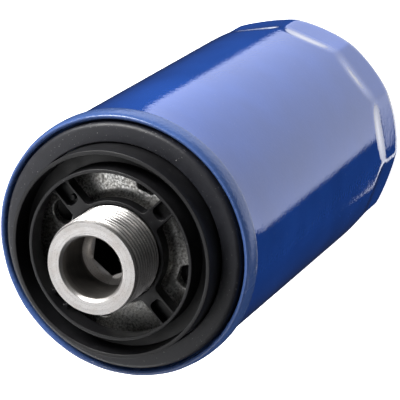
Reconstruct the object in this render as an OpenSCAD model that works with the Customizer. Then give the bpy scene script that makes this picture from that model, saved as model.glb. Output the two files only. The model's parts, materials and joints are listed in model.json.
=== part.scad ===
// Spin-on oil filter with a male threaded spigot and a spoked plastic insert.
// It stands on its closed end. Z is the filter's axis and points to the spigot, Z = 0 is the closed end.

/* [Canister] */
// Outside diameter of the can's body
can_d = 74.4; // [66:0.2:100]
// Height from the closed end to the widest line of the rolled seam
can_h = 131; // [95:1:200]
// Sheet thickness of the can
wall_t = 0.55; // [0.4:0.05:0.8]
// Radius of the corner between the wall and the closed end
dome_r = 9; // [6:0.5:12]
// Number of wrench flats pressed into the closed end
flat_count = 12; // [8:1:12]
// Depth of a flat's middle below the body's surface
flat_depth = 1.6; // [1:0.1:2]
// Height of the flats above the corner radius
flat_h = 12.5; // [8:0.5:18]
// Turn of the flats' corners about the axis, in degrees
flat_turn = 13; // [0:1:29]

/* [Rolled seam] */
// Sheet thickness of the seaming lid
lid_t = 0.4; // [0.3:0.05:0.5]
// Height of the seam's crest above its widest line
seam_rise = 2.5; // [1.8:0.1:3.5]
// Depth of the seam's outer fold below its widest line
seam_drop = 3; // [2:0.1:4]
// Length of the flare from the body up to the seam
neck_l = 5; // [3:0.5:8]

/* [Gasket] */
// Radial width of the gasket's section
gasket_w = 5.4; // [4:0.2:6.4]
// Height of the gasket's section
gasket_h = 5.6; // [4.6:0.2:6.6]
// Height of the sealing face above the seam's widest line
gasket_stand = 3; // [2.6:0.1:4]

/* [Threaded spigot] */
// Major diameter of the thread
thread_d = 27; // [20:0.5:32]
// Height of the spigot's face above the seam's widest line
spigot_h = 21.7; // [16:0.1:30]
// Diameter of the bore
bore_d = 17.4; // [15:0.2:18]
// Depth of the bore, down to the shoulder above the hexagon
bore_l = 13.5; // [9:0.5:16]
// Width across the flats of the hexagon
hex_af = 12; // [8:1:12]
// Turn of the hexagon's corners about the axis, in degrees
hex_turn = 39; // [0:1:59]

/* [Base plate] */
// Thickness of the plate
plate_t = 3; // [2:0.1:4]
// Number of oil inlet holes
inlet_count = 4; // [3:1:4]
// Diameter of an inlet hole
inlet_d = 6.8; // [4:0.2:8]
// Turn of the first inlet hole from the first spoke, in degrees
inlet_turn = 26; // [20:1:70]

/* [Spoked insert] */
// Height of the two rims above the seam's widest line
rim_h = 10.3; // [9:0.1:13]
// Height of the hub and of the spokes' ribs above the seam's widest line
hub_h = 7.2; // [6:0.1:8]
// Thickness of the outer rim
outer_rim_t = 1.15; // [0.8:0.05:1.4]
// Thickness of the inner rim at its top
inner_rim_t = 1; // [0.8:0.05:1.2]
// Clear width of the trough between the rims
trough_w = 4.1; // [2.5:0.1:5]
// Number of spokes
spoke_count = 4; // [3:1:6]
// Distance between the middles of a spoke's two ribs
rib_gap = 4.8; // [3.5:0.1:6]
// Thickness of a rib
rib_t = 0.9; // [0.7:0.05:1.2]

/* [Filter element] */
// Height of the element's lower end above the closed end
element_z = 20; // [16:1:26]
// Number of pleats
pleat_count = 48; // [36:2:60]
// Outside diameter of the centre tube
tube_d = 35.2; // [34.8:0.2:38]
// Diameter of a hole in the centre tube
tube_hole_d = 5; // [3:0.5:6]

/* [Bypass valve] */
// Diameter of the bypass port
port_d = 13; // [9:0.5:14]
// Lift of the valve disc
bypass_lift = 3.5; // [2:0.5:4]
// Diameter of the disc's guide stem
stem_d = 5; // [3.5:0.5:6]
// Running clearance of the stem in its guide, on the radius
stem_clear = 0.08; // [0.04:0.01:0.1]

/* [Anti-drain valve] */
// Travel of the rubber lip away from the inlet holes
lip_travel = 1.2; // [0.8:0.1:1.4]

/* [Hidden] */
$fn = 96;

eps = 0.05;              // gap between sheets folded together
can_r = can_d / 2;
can_in_r = can_r - wall_t;
flat_rise = 2;           // height of the shoulder above a flat

// rolled seam, from the inside to the outside
lid_wall_r = can_in_r - eps;
groove_r = lid_wall_r - lid_t;
hook_r = can_r + eps + lid_t;
seam_r = hook_r + eps + lid_t;
fold_mid_r = (groove_r + seam_r) / 2;
fold_r = (seam_r - groove_r) / 2;
seam_top_z = can_h + seam_rise;
seam_low_z = can_h - seam_drop;
neck_arc_r = (pow(neck_l, 2) + pow(seam_r - can_r, 2)) / (2 * (seam_r - can_r));

// gasket and its seat
gasket_r = groove_r - 0.8;
gasket_in_r = gasket_r - gasket_w;
face_z = can_h + gasket_stand;
seat_z = face_z - gasket_h;
gasket_edge = 1.2;       // radius of the gasket's outer upper edge

// insert
insert_r = gasket_in_r - 0.35;
trough_r = insert_r - outer_rim_t;
inner_rim_r = trough_r - trough_w;
port_r = inner_rim_r - inner_rim_t;
insert_draft = 0.6;      // how far the inner rim's wall leans out towards its foot
insert_floor_t = 1.5;
web_z = can_h + 3.6;
web_t = 1;
hub_t = 0.9;

// spigot and base plate
thread_r = thread_d / 2;
shank_r = thread_r - 0.3;
shank_press = 0.02;
hub_in_r = thread_r + 0.25;
hub_r = hub_in_r + hub_t;
spigot_z = can_h + spigot_h;
spigot_low_z = can_h - 7;
hub_z = can_h + hub_h;
thread_chamfer = 0.6;
thread_chamfer_h = 1.2;
bore_r = bore_d / 2;
bore_chamfer = 0.8;
hex_r = hex_af / 2 / cos(30);
bore_low_z = spigot_z - bore_l;
neck_r = thread_r + 2.7;
neck_low_z = can_h - 7.5;
collar_top_z = can_h + 3.2;
collar_arc = 2.6;        // radius of the sweep from the plate up to its collar
plate_low_z = can_h - plate_t - 0.2;
plate_r = can_in_r - 0.75;
plate_rim_z = seat_z - lid_t;
step_r = insert_r - 1.05;
step_in_r = step_r - 1.4;
inlet_pitch_r = (neck_r + port_r + insert_draft) / 2;

// element
cap_t = 0.5;
potting_t = 2;
cap_r = can_in_r - 3.65;
cap_rim_h = 4;
cap_top_z = neck_low_z - 1;
tube_r = tube_d / 2;
tube_t = 0.5;
flange_r = tube_r - tube_t - 0.1;
flange_h = 5;
paper_r = cap_r - cap_t - 0.9;
paper_in_r = tube_r + 0.8;
paper_t = 0.6;
paper_low_z = element_z + cap_t + potting_t;
paper_top_z = cap_top_z - cap_t - potting_t;
pleat_half = 180 / pleat_count;
pleat_run = paper_r - paper_in_r;
pleat_rise = 25 * sin(pleat_half);
sheet_radial = paper_t * sqrt(pow(pleat_run, 2) + pow(pleat_rise, 2)) / pleat_rise;
tube_low_z = element_z + cap_t;
tube_top_z = cap_top_z - cap_t;
hole_pitch = 10;
hole_turn = 11.25;         // turn of the first row's holes, a quarter of their spacing
hole_rows = floor((tube_top_z - tube_low_z - 2 * flange_h - tube_hole_d) / hole_pitch) + 1;

// anti-drain valve
collar_r = neck_r + 2.8;
lip_in_r = collar_r + 0.3;
lip_r = step_in_r - 1.2;
lip_t = 1.2;
lip_h = 4.3 - lip_travel;   // height of the lip's section, which leaves room for its travel

// bypass valve
valve_r = flange_r - cap_t - 0.1;
seat_t = 0.8;
seat_lip = 1.5;
seat_h = 1;
valve_z = element_z + cap_t;
lip_z = valve_z + seat_t + seat_h;
seal_t = 1.2;
disc_t = 1.2;
disc_r = port_d / 2 + 2.6;
disc_top_z = lip_z + seal_t + disc_t;
spring_wire = 1.1;
spring_r = 5.5;
spring_turns = 5;
spring_l = bypass_lift + 8.8;  // the valve's lift and the spring's length at full lift
cage_top_z = disc_top_z + spring_l;
cage_t = 0.8;
cage_r = disc_r + 3.5;
stem_r = stem_d / 2;
stem_top_z = cage_top_z + cage_t + 1.5;

// support spring
support_wire = 2.4;
support_r = can_r - dome_r - 8.2;
support_turns = 4;

paint = [0.13, 0.29, 0.62];
steel = [0.72, 0.72, 0.72];
zinc = [0.62, 0.63, 0.62];
black_rubber = [0.12, 0.12, 0.13];
black_plastic = [0.06, 0.06, 0.07];

// Points of an arc about a centre, from one angle to another
function arc(c, r, a0, a1, n = 8) = [for (i = [0 : n])
    let (a = a0 + (a1 - a0) * i / n)
    c + r * [cos(a), sin(a)]];

module tube(r_out, r_in, z0, z1) {
    translate([0, 0, z0]) difference() {
        cylinder(r = r_out, h = z1 - z0);
        translate([0, 0, -1]) cylinder(r = r_in, h = z1 - z0 + 2);
    }
}

// Solid of revolution with a round corner at its foot and flats above that corner
module can_form(r, z0, corner, flat_r, top_z) {
    shoulder_z = dome_r + flat_h;
    intersection() {
        rotate_extrude() {
            translate([0, z0]) square([r - corner, top_z - z0]);
            translate([0, z0 + corner]) square([r, top_z - z0 - corner]);
            translate([r - corner, z0 + corner]) circle(r = corner);
        }
        union() {
            rotate([0, 0, flat_turn])
                cylinder(r = flat_r / cos(180 / flat_count), h = shoulder_z + flat_rise, $fn = flat_count);
            translate([0, 0, shoulder_z]) cylinder(r1 = flat_r, r2 = r + 0.2, h = flat_rise);
            translate([0, 0, shoulder_z + flat_rise]) cylinder(r = r + 1, h = top_z);
        }
    }
}

// Deep-drawn can whose open edge flares out and hooks over inside the seam
module canister() {
    color(paint) {
        bend_z = seam_top_z - fold_r;
        bend_mid_r = (can_in_r + hook_r) / 2;
        bend_r = (hook_r - can_in_r) / 2;
        difference() {
            can_form(can_r, 0, dome_r, can_r - flat_depth, bend_z);
            can_form(can_in_r, wall_t, dome_r - wall_t, can_in_r - flat_depth, bend_z + 1);
        }
        rotate_extrude() {
            intersection() {
                translate([bend_mid_r, bend_z]) circle(r = bend_r);
                translate([can_in_r, bend_z]) square([2 * bend_r, bend_r]);
            }
            translate([can_r + eps, seam_low_z + 0.5]) square([lid_t, bend_z - seam_low_z - 0.5]);
            difference() {
                translate([can_r - wall_t / 2, seam_low_z - neck_l])
                    square([seam_r - can_r + wall_t / 2, neck_l - eps]);
                translate([can_r + neck_arc_r, seam_low_z - neck_l]) circle(r = neck_arc_r);
            }
        }
    }
}

// Thin lid: the seam's outer fold, its inner wall and the floor of the gasket's groove
module seaming_lid() {
    color(paint) {
        bend_z = seam_top_z - fold_r;
        rotate_extrude() {
            difference() {
                translate([fold_mid_r, bend_z]) circle(r = fold_r);
                translate([fold_mid_r, bend_z]) circle(r = fold_r - lid_t);
                translate([groove_r - 1, bend_z - 2 * fold_r]) square([2 * fold_r + 2, 2 * fold_r]);
            }
            translate([seam_r - lid_t, seam_low_z]) square([lid_t, bend_z - seam_low_z]);
            translate([groove_r, plate_rim_z]) square([lid_t, bend_z - plate_rim_z]);
            translate([step_r + 0.2, plate_rim_z]) square([groove_r + lid_t - step_r - 0.2, lid_t]);
        }
    }
}

// Pressed plate: sunk rim under the lid, flat face with the inlets, collar that holds the spigot
module base_plate() {
    color(zinc) {
        collar_arc_c = [thread_r + 1 + collar_arc, can_h + collar_arc];
        difference() {
            rotate_extrude() polygon(concat(
                [[shank_r, neck_low_z], [neck_r, neck_low_z], [neck_r, plate_low_z],
                 [step_in_r - 0.6, plate_low_z],
                 [step_r - 0.3, plate_rim_z - plate_t], [plate_r, plate_rim_z - plate_t],
                 [plate_r, plate_rim_z], [step_r, plate_rim_z], [step_in_r, can_h]],
                arc(collar_arc_c, collar_arc, 270, 180),
                [[thread_r + 1, collar_top_z], [shank_r, collar_top_z]]));
            for (i = [0 : inlet_count - 1]) {
                rotate([0, 0, inlet_turn + i * 360 / inlet_count])
                    translate([inlet_pitch_r, 0, plate_low_z - 1]) cylinder(d = inlet_d, h = plate_t + 3);
            }
        }
    }
}

// Turned tube: the thread's major diameter outside, a plain bore and a hexagon inside
module threaded_spigot() {
    color(steel) difference() {
        union() {
            translate([0, 0, spigot_low_z]) cylinder(r = shank_r + shank_press, h = hub_z - spigot_low_z);
            translate([0, 0, hub_z]) cylinder(r = thread_r, h = spigot_z - thread_chamfer_h - hub_z);
            translate([0, 0, spigot_z - thread_chamfer_h])
                cylinder(r1 = thread_r, r2 = thread_r - thread_chamfer, h = thread_chamfer_h);
        }
        translate([0, 0, bore_low_z]) cylinder(r = bore_r, h = bore_l + 1);
        translate([0, 0, bore_low_z - 1.2]) cylinder(r1 = bore_r - 1.4, r2 = bore_r, h = 1.2);
        translate([0, 0, spigot_z - bore_chamfer])
            cylinder(r1 = bore_r, r2 = bore_r + bore_chamfer, h = bore_chamfer);
        translate([0, 0, spigot_z]) cylinder(r = bore_r + bore_chamfer, h = 1);
        rotate([0, 0, hex_turn]) translate([0, 0, spigot_low_z - 1])
            cylinder(r = hex_r, h = bore_low_z - spigot_low_z + 2, $fn = 6);
    }
}

// Square-section ring with a flat face and a round outer edge
module sealing_gasket() {
    color(black_rubber) rotate_extrude() polygon(concat(
        [[gasket_in_r + 0.3, seat_z], [gasket_r - 0.5, seat_z], [gasket_r, seat_z + 0.5]],
        arc([gasket_r - gasket_edge, face_z - gasket_edge], gasket_edge, 0, 90),
        arc([gasket_in_r + 0.5, face_z - 0.5], 0.5, 90, 180, 4),
        [[gasket_in_r, seat_z + 0.3]]));
}

// Moulded insert: outer rim and skirt, trough, inner rim, hub and channel-shaped spokes
module spoked_insert() {
    trough_z = can_h + 3;
    rim_z = can_h + rim_h;
    floor_z = trough_z - insert_floor_t;
    foot_r = port_r + insert_draft;
    color(black_plastic) {
        rotate_extrude() polygon([
            [insert_r - 0.9, seat_z], [insert_r, seat_z], [insert_r, rim_z], [trough_r, rim_z],
            [trough_r, trough_z], [inner_rim_r, trough_z], [inner_rim_r, rim_z], [port_r, rim_z],
            [foot_r, web_z], [foot_r + web_z - floor_z, floor_z], [insert_r - 0.9, floor_z]]);
        tube(hub_r, hub_in_r, collar_top_z, hub_z);
        for (i = [0 : spoke_count - 1]) {
            rotate([0, 0, i * 360 / spoke_count]) {
                for (side = [-1, 1]) {
                    translate([hub_r - 0.5, side * rib_gap / 2 - rib_t / 2, web_z])
                        cube([foot_r - hub_r + 0.5, rib_t, hub_z - web_z]);
                }
                translate([hub_r - 0.4, -rib_gap / 2, web_z]) cube([foot_r - hub_r + 0.5, rib_gap, web_t]);
            }
        }
    }
}

// Rubber ring held between the base plate's neck and the element
module drain_valve_collar() {
    color(black_rubber) tube(collar_r, neck_r + 0.05, cap_top_z, plate_low_z - lip_t - 0.1);
}

// Flexible lip that closes the inlet holes from below
module drain_valve_lip() {
    seal_w = 1.4;
    color(black_rubber) rotate_extrude() polygon([
        [lip_in_r, plate_low_z - lip_h], [lip_in_r + 0.8, plate_low_z - lip_h], [lip_r, plate_low_z - lip_t],
        [lip_r, plate_low_z], [lip_r - seal_w, plate_low_z], [lip_in_r, plate_low_z - lip_h + lip_t]]);
}

// Steel cap with an outer rim and an inner flange; z is its outer face and dir points into the element
module end_cap(z, dir, hole_r) {
    translate([0, 0, z]) mirror([0, 0, dir > 0 ? 0 : 1]) {
        tube(cap_r, hole_r, 0, cap_t);
        tube(cap_r, cap_r - cap_t, 0, cap_rim_h);
        tube(flange_r, flange_r - cap_t, 0, flange_h);
    }
}

module top_end_cap() {
    color(steel) end_cap(cap_top_z, -1, flange_r - cap_t);
}

module bottom_end_cap() {
    color(steel) end_cap(element_z, 1, port_d / 2 + 2);
}

// Ring of adhesive that seals the paper's end to its cap
module potting(z) {
    tube(cap_r - cap_t - 0.05, tube_r + 0.05, z, z + potting_t);
}

module top_potting() {
    color([0.80, 0.76, 0.66]) potting(paper_top_z);
}

module bottom_potting() {
    color([0.80, 0.76, 0.66]) potting(element_z + cap_t);
}

// Star-shaped outline through alternating outer and inner folds
function star(r_out, r_in) = [for (i = [0 : 2 * pleat_count - 1])
    (i % 2 == 0 ? r_out : r_in) * [cos(i * pleat_half), sin(i * pleat_half)]];

module pleated_paper() {
    color([0.86, 0.74, 0.48]) translate([0, 0, paper_low_z])
        linear_extrude(height = paper_top_z - paper_low_z) difference() {
            polygon(star(paper_r, paper_in_r + sheet_radial));
            polygon(star(paper_r - sheet_radial, paper_in_r));
        }
}

// Steel strip folded over the fold where the paper's two ends meet
module pleat_clip() {
    clip_w = 1.6;
    clip_t = 0.3;
    clip_l = 3.6;
    color(steel) translate([paper_r + 0.1 - clip_l, 0, paper_low_z + 0.2])
        linear_extrude(height = paper_top_z - paper_low_z - 0.4) {
            for (side = [-1, 1]) {
                translate([0, side * (clip_w + clip_t) / 2 - clip_t / 2]) square([clip_l + clip_t, clip_t]);
            }
            translate([clip_l, -clip_w / 2 - clip_t / 2]) square([clip_t, clip_w + clip_t]);
        }
}

module centre_tube() {
    color(steel) difference() {
        tube(tube_r, tube_r - tube_t, tube_low_z, tube_top_z);
        for (row = [0 : hole_rows - 1]) {
            for (k = [0 : 7]) {
                translate([0, 0, (tube_low_z + tube_top_z) / 2 + (row - (hole_rows - 1) / 2) * hole_pitch])
                    rotate([0, 90, hole_turn + k * 45 + (row % 2) * 22.5])
                        translate([0, 0, tube_r - tube_t - 1.5])
                            cylinder(r = tube_hole_d / 2, h = tube_t + 2.5);
            }
        }
    }
}

// Plate with a raised lip round the bypass port
module bypass_seat() {
    color(steel) {
        tube(valve_r, port_d / 2, valve_z, valve_z + seat_t);
        tube(port_d / 2 + seat_lip, port_d / 2, valve_z, lip_z);
    }
}

module bypass_seal() {
    color(black_rubber) tube(disc_r - 0.3, port_d / 2 - 1.5, lip_z, lip_z + seal_t);
}

// Disc with a stem that runs in the cage and a boss that holds the seal
module bypass_poppet() {
    color([0.85, 0.84, 0.78]) {
        translate([0, 0, lip_z + seal_t]) cylinder(r = disc_r, h = disc_t);
        translate([0, 0, lip_z]) cylinder(r = port_d / 2 - 1.55, h = seal_t + 0.1);
        translate([0, 0, disc_top_z - 0.1]) cylinder(r = stem_r, h = stem_top_z - disc_top_z + 0.1);
    }
}

// Windowed cage that guides the stem and backs the spring
module bypass_cage() {
    color(steel) {
        base_z = valve_z + seat_t;
        difference() {
            union() {
                tube(cage_r, cage_r - cage_t, base_z, cage_top_z + cage_t);
                tube(valve_r, cage_r - cage_t, base_z, base_z + cage_t);
                tube(cage_r, stem_r + stem_clear, cage_top_z, cage_top_z + cage_t);
            }
            for (turn = [0, 90]) {
                rotate([0, 0, turn]) translate([-cage_r - 1, -cage_r / 2, base_z + 3])
                    cube([2 * cage_r + 2, cage_r, cage_top_z - base_z - 6]);
            }
        }
    }
}

// Height along a spring with one closed coil at each end, as turns run from 0 to n
function coil_z(u, n, wire, l) =
    let (dead = 1.08 * wire, pitch = (l - wire - 2 * dead) / (n - 2))
    wire / 2 + (u < 1 ? dead * u
        : u > n - 1 ? dead + pitch * (n - 2) + dead * (u - n + 1)
        : dead + pitch * (u - 1));

// Coil spring swept as rings of points round a helix
module coil(r, wire, z0, l, n, steps = 20, sides = 8) {
    last = n * steps;
    points = [for (i = [0 : last], s = [0 : sides - 1])
        let (turn = 360 * i / steps, side = 360 * s / sides, rr = r + wire / 2 * cos(side))
        [rr * cos(turn), rr * sin(turn), z0 + coil_z(i / steps, n, wire, l) + wire / 2 * sin(side)]];
    skin = [for (i = [0 : last - 1], s = [0 : sides - 1])
        let (a = i * sides + s, b = i * sides + (s + 1) % sides) [a, a + sides, b + sides, b]];
    ends = [[for (s = [0 : sides - 1]) s], [for (s = [sides - 1 : -1 : 0]) last * sides + s]];
    polyhedron(points, concat(skin, ends), convexity = 6);
}

module bypass_spring() {
    color(steel) coil(spring_r, spring_wire, disc_top_z, spring_l, spring_turns);
}

module support_spring() {
    color(steel) coil(support_r, support_wire, wall_t, element_z - wall_t, support_turns);
}

canister();
seaming_lid();
base_plate();
threaded_spigot();
sealing_gasket();
spoked_insert();
drain_valve_collar();
drain_valve_lip();
top_end_cap();
top_potting();
pleated_paper();
pleat_clip();
centre_tube();
bottom_potting();
bottom_end_cap();
bypass_seat();
bypass_seal();
bypass_poppet();
bypass_spring();
bypass_cage();
support_spring();
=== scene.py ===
"""Looks of a spin-on oil filter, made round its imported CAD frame.

The filter stands on its closed end. Z is its axis and points to the threaded spigot. Sizes in the classes
are in millimetres, and meshes are written in metres.
"""

import json
import logging
import math
from dataclasses import dataclass
from enum import Enum
from typing import Iterable, Sequence

import bmesh
import bpy
import numpy as np
from mathutils import Matrix, Vector, geometry

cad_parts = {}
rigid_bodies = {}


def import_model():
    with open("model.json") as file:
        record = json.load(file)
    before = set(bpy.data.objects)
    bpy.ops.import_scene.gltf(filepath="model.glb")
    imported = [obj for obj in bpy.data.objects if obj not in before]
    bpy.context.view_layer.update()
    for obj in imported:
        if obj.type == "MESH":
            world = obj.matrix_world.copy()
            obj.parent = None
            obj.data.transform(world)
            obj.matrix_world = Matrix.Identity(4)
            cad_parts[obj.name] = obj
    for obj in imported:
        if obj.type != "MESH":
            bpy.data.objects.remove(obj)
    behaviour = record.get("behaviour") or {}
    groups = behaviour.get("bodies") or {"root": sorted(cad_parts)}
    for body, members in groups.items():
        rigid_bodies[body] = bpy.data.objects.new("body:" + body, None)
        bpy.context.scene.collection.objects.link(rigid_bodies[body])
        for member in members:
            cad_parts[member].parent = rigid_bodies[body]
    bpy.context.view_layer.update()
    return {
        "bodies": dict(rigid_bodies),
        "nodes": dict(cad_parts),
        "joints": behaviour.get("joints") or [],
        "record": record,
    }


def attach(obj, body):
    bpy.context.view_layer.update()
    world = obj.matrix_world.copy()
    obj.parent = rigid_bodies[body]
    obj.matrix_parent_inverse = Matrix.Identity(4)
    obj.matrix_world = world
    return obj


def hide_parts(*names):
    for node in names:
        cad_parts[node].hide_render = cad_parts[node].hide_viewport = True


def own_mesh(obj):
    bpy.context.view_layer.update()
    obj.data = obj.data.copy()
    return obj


LOG = logging.getLogger("oil_filter")
MM = 0.001
TAU = 2 * math.pi
STILL_BODY = "filter"

Pair = tuple[float, float]
Triple = tuple[float, float, float]
Loop = list[Pair]
Row = list[Triple]
Socket = bpy.types.NodeSocket


class Slot(Enum):
    """The record's material slots."""

    ENAMEL = "enamel"
    ZINC = "zinc_plate"
    TURNED = "turned_steel"
    GASKET = "gasket_rubber"
    VALVE = "valve_rubber"
    NYLON = "black_nylon"
    TINNED = "tinned_steel"
    ADHESIVE = "adhesive"
    PAPER = "filter_paper"
    ACETAL = "acetal"
    WIRE = "spring_wire"


def arc_points(centre: Pair, radius: float, start: float, end: float, steps: int) -> Loop:
    """Points of an arc, both ends included.

    Args:
        centre: Middle of the arc.
        radius: Radius of the arc.
        start: First angle in degrees.
        end: Last angle in degrees.
        steps: Number of segments.

    Returns:
        The points in order.
    """
    angles = [math.radians(start + (end - start) * i / steps) for i in range(steps + 1)]
    return [(centre[0] + radius * math.cos(a), centre[1] + radius * math.sin(a)) for a in angles]


def circle(radius: float, count: int, centre: Pair = (0.0, 0.0)) -> Loop:
    """Points of a whole circle."""
    return arc_points(centre, radius, 0, 360 * (count - 1) / count, count - 1)


def turned(loop: Loop, angle: float) -> Loop:
    """Outline turned about the axis by an angle in degrees."""
    c, s = math.cos(math.radians(angle)), math.sin(math.radians(angle))
    return [(x * c - y * s, x * s + y * c) for x, y in loop]


def spin(turn: float, radius: float, height: float) -> Triple:
    """Point at an angle in radians, a distance from the axis and a height."""
    return (radius * math.cos(turn), radius * math.sin(turn), height)


def turns_of(count: int) -> list[float]:
    """Angles in radians that part a turn into equal steps."""
    return [TAU * i / count for i in range(count)]


def quarter_steps(count: int) -> Iterable[Pair]:
    """Follows a round edge from its top to its side.

    Args:
        count: Number of steps.

    Returns:
        Shares (in, down) of the edge's radius.
    """
    for k in range(count + 1):
        a = math.radians(90 - 90 * k / count)
        yield 1 - math.cos(a), 1 - math.sin(a)


def rounded(corners: Sequence[Triple], steps: int = 4) -> Loop:
    """Closed outline whose corners are rounded.

    Args:
        corners: Corner points with the radius of each, as (x, y, radius).
        steps: Segments in each rounded corner.

    Returns:
        The outline's points in order.
    """
    made: Loop = []
    count = len(corners)
    for i, (x, y, radius) in enumerate(corners):
        here = Vector((x, y))
        back = Vector(corners[i - 1][:2]) - here
        ahead = Vector(corners[(i + 1) % count][:2]) - here
        half = back.angle(ahead) / 2
        if radius <= 0 or half > math.radians(89):
            made.append((x, y))
            continue
        reach = min(radius / math.tan(half), 0.49 * back.length, 0.49 * ahead.length)
        inner = reach * math.tan(half)
        centre = here + (back.normalized() + ahead.normalized()).normalized() * (inner / math.sin(half))
        first = here + back.normalized() * reach - centre
        last = here + ahead.normalized() * reach - centre
        turn = first.angle_signed(last)
        for k in range(steps + 1):
            point = Matrix.Rotation(-turn * k / steps, 2) @ first + centre
            made.append((point.x, point.y))
    return made


def smooth_min(a: float, b: float, soft: float) -> float:
    """Lower of two numbers, with a rounded change from one to the other over a width soft."""
    mix = min(1.0, max(0.0, 0.5 + 0.5 * (b - a) / soft))
    return b * (1 - mix) + a * mix - soft * mix * (1 - mix)


def smooth_max(a: float, b: float, soft: float) -> float:
    """Higher of two numbers, with a rounded change from one to the other over a width soft."""
    return -smooth_min(-a, -b, soft)


def within(points: np.ndarray, loop: Loop) -> np.ndarray:
    """Tells which points lie inside a closed loop.

    Args:
        points: Points as rows of (x, y).
        loop: The loop's corners.

    Returns:
        One 1 or 0 for each point.
    """
    x, y = points[:, 0], points[:, 1]
    inside = np.zeros(len(points), dtype=bool)
    for (x0, y0), (x1, y1) in zip(loop, [*loop[1:], loop[0]]):
        if y0 != y1:
            crosses = ((y0 > y) != (y1 > y)) & (x < (x1 - x0) * (y - y0) / (y1 - y0) + x0)
            inside ^= crosses
    return inside.astype(int)


class Sketch:
    """Gathers the points and faces of one mesh, in millimetres."""

    def __init__(self) -> None:
        """Starts an empty mesh."""
        self.points: Row = []
        self.faces: list[tuple[int, ...]] = []

    def add_points(self, points: Sequence[Triple]) -> list[int]:
        """Adds points.

        Args:
            points: The points to add.

        Returns:
            Their indices.
        """
        start = len(self.points)
        self.points.extend(points)
        return list(range(start, len(self.points)))

    def bridge(self, a: Sequence[int], b: Sequence[int], closed: bool = True) -> None:
        """Joins two rows of equal length with four-sided faces.

        Args:
            a: Indices of the first row.
            b: Indices of the second row.
            closed: Whether the rows are rings.
        """
        count = len(a)
        for i in range(count if closed else count - 1):
            k = (i + 1) % count
            self.faces.append((a[i], a[k], b[k], b[i]))

    def rings(self, rows: Sequence[Sequence[Triple]], closed: bool = False) -> list[list[int]]:
        """Adds rings of points and joins each to the next.

        Args:
            rows: The rings, all of one length.
            closed: Whether the last ring joins the first.

        Returns:
            The indices of each ring.
        """
        made = [self.add_points(row) for row in rows]
        for a, b in zip(made, made[1:]):
            self.bridge(a, b)
        if closed:
            self.bridge(made[-1], made[0])
        return made

    def stack(self, loops: Iterable[tuple[Loop, float]]) -> list[list[int]]:
        """Adds a wall through level outlines, each given with its height."""
        return self.rings([[(x, y, z) for x, y in loop] for loop, z in loops])

    def lathe(self, outline: Sequence[Pair], segments: int, closed: bool = True) -> list[list[int]]:
        """Turns an outline of (radius, height) points about the axis.

        Args:
            outline: The outline's points.
            segments: Number of steps round the axis.
            closed: Whether the outline's end joins its start.

        Returns:
            The indices of each ring.
        """
        return self.rings([[spin(t, r, z) for t in turns_of(segments)] for r, z in outline], closed)

    def disc(self, ring: Sequence[int], height: float) -> None:
        """Closes a ring with a fan round a point on the axis.

        Args:
            ring: Indices of the ring.
            height: Height of the point.
        """
        middle = self.add_points([(0.0, 0.0, height)])[0]
        for i, a in enumerate(ring):
            self.faces.append((a, ring[(i + 1) % len(ring)], middle))

    def plate(self, loops: Sequence[Loop], height: float) -> None:
        """Fills a flat area with holes.

        Args:
            loops: The outer edge and each hole, as closed loops of points.
            height: Height of the area.
        """
        points = [Vector(p) for loop in loops for p in loop]
        edges: list[tuple[int, int]] = []
        start = 0
        for loop in loops:
            edges += [(start + i, start + (i + 1) % len(loop)) for i in range(len(loop))]
            start += len(loop)
        filled = geometry.delaunay_2d_cdt(points, edges, [], 1, 1e-6)
        flat = np.array([tuple(p) for p in filled[0]])
        middles = np.array([flat[list(face)].mean(axis=0) for face in filled[2]])
        inside = sum(within(middles, loop) for loop in loops) % 2 == 1
        index = self.add_points([(x, y, height) for x, y in flat])
        self.faces.extend(tuple(index[i] for i in face) for face, keep in zip(filled[2], inside) if keep)

    def build(self, name: str, sharp: float = 40.0) -> bpy.types.Object:
        """Makes the mesh object, with doubled points joined, normals outwards and soft shading.

        Args:
            name: Name of the object.
            sharp: Angle in degrees above which an edge is shaded sharp.

        Returns:
            The new object.
        """
        mesh = bpy.data.meshes.new(name)
        mesh.from_pydata([tuple(c * MM for c in p) for p in self.points], [], self.faces)
        work = bmesh.new()
        work.from_mesh(mesh)
        bmesh.ops.remove_doubles(work, verts=work.verts, dist=1e-3 * MM)
        bmesh.ops.dissolve_degenerate(work, edges=work.edges, dist=1e-4 * MM)
        bmesh.ops.recalc_face_normals(work, faces=work.faces)
        for face in work.faces:
            face.smooth = True
        work.to_mesh(mesh)
        work.free()
        mesh.set_sharp_from_angle(angle=math.radians(sharp))
        made = bpy.data.objects.new(name, mesh)
        bpy.context.scene.collection.objects.link(made)
        return made


def give_finish(piece: bpy.types.Object, material: bpy.types.Material) -> None:
    """Gives a piece its material.

    Args:
        piece: The mesh object.
        material: The material.
    """
    piece.data.materials.clear()
    piece.data.materials.append(material)


def place(piece: bpy.types.Object, slot: Slot, material: bpy.types.Material, node: str) -> bpy.types.Object:
    """Puts a finished mesh on the filter's still body, in place of a CAD node, and gives it its material.

    Args:
        piece: The mesh object.
        slot: The record's slot for its finish; not used.
        material: Its material.
        node: The CAD node that it replaces.

    Returns:
        The same object.
    """
    give_finish(piece, material)
    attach(piece, STILL_BODY)
    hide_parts(node)
    LOG.info("made %s: %d faces, for %s", piece.name, len(piece.data.polygons), node)
    return piece


def stand(thing: bpy.types.Object, at: Vector, right: Vector, up: Vector, back: Vector) -> None:
    """Links a lamp or camera to the scene, at a place and turned by its three axes.

    Args:
        thing: The lamp or camera.
        at: Its place.
        right: Direction of its right side.
        up: Direction of its upper side.
        back: Direction that it faces away from.
    """
    turn = Matrix((right, up, back)).transposed().to_4x4()
    thing.matrix_world = Matrix.Translation(at) @ turn
    bpy.context.scene.collection.objects.link(thing)


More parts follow.
